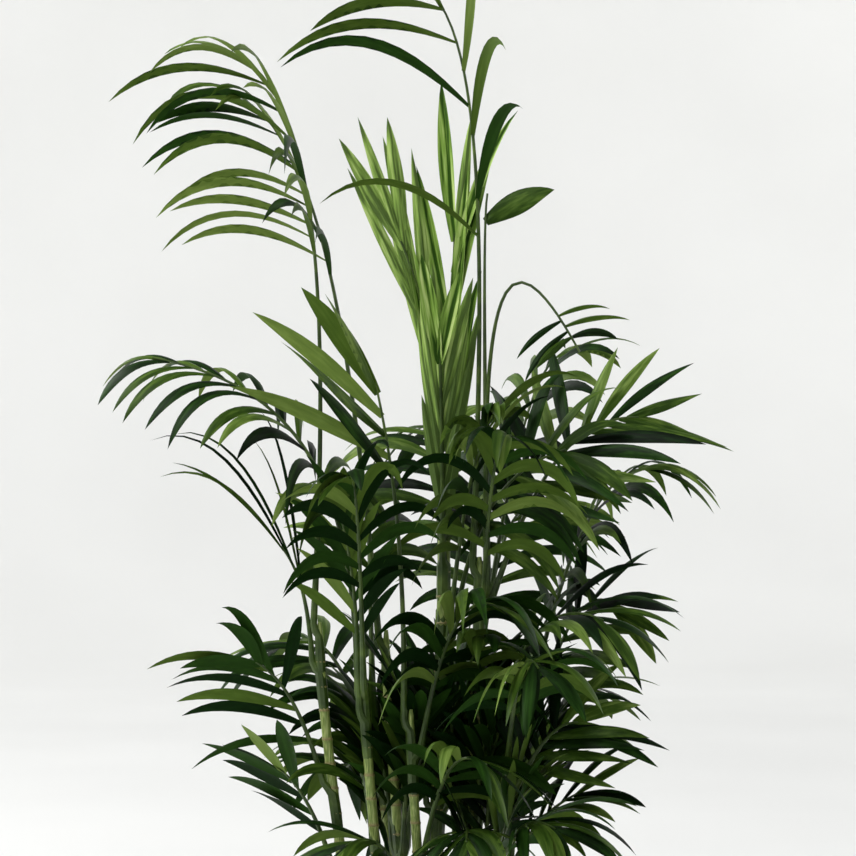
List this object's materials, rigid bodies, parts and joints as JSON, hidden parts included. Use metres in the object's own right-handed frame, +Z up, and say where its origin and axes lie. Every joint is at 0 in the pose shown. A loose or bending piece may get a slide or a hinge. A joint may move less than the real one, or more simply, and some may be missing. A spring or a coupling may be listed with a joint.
{
  "type": "potted parlour palm",
  "caption": "Parlour palm in a plain clay pot: a clump of slender green canes with arching fronds of narrow leaflets, for a shelf, floor or desk.",
  "frame": {"origin": "middle of the pot's flat underside, on the table", "axes": "+Z up along the canes, +X to the right and +Y to the back as seen from the front"},
  "size_m": [0.4712, 0.4, 0.879],
  "materials": {
    "clay": "matte",
    "potting_mix": "matte",
    "cane": "satin",
    "leaf": "satin",
    "young_leaf": "satin"
  },
  "bodies": {
    "root": {"pot": "clay", "soil": "potting_mix", "cane_far_left": "cane", "cane_left": "cane", "cane_inner_left": "cane", "cane_front": "cane", "cane_middle": "cane", "cane_inner_right": "cane", "cane_right": "cane", "cane_back_right": "cane", "cane_back_left": "cane", "cane_front_right": "cane", "frond_tall_left": "leaf", "frond_tall_inner_left": "leaf", "frond_raised_left": "leaf", "frond_hanging_left": "leaf", "frond_thin_left": "leaf", "frond_fan_left": "leaf", "frond_low_left": "leaf", "frond_tall_middle": "leaf", "frond_young_left": "young_leaf", "frond_young_right": "young_leaf", "frond_young_middle": "young_leaf", "frond_thin_right": "leaf", "frond_broad_right": "leaf", "frond_high_right": "leaf", "frond_spreading_right": "leaf", "frond_back_high_right": "leaf", "frond_middle_right": "leaf", "frond_fan_right": "leaf", "frond_low_right": "leaf", "frond_leaning_right": "leaf", "frond_arching_right": "leaf", "frond_upright_middle": "leaf", "frond_upright_left": "leaf", "frond_front_high": "leaf", "frond_front_middle": "leaf", "frond_front_left": "leaf", "frond_front_right": "leaf", "frond_front_low": "leaf", "frond_front_low_left": "leaf", "frond_front_low_right": "leaf", "frond_low_middle": "leaf", "frond_low_inner_left": "leaf", "frond_low_inner_right": "leaf", "frond_low_front_left": "leaf", "frond_back_right": "leaf", "frond_back_middle": "leaf", "frond_back_left": "leaf", "frond_back_low_left": "leaf", "frond_back_low": "leaf", "frond_back_low_right": "leaf"}
  },
  "joints": []
}
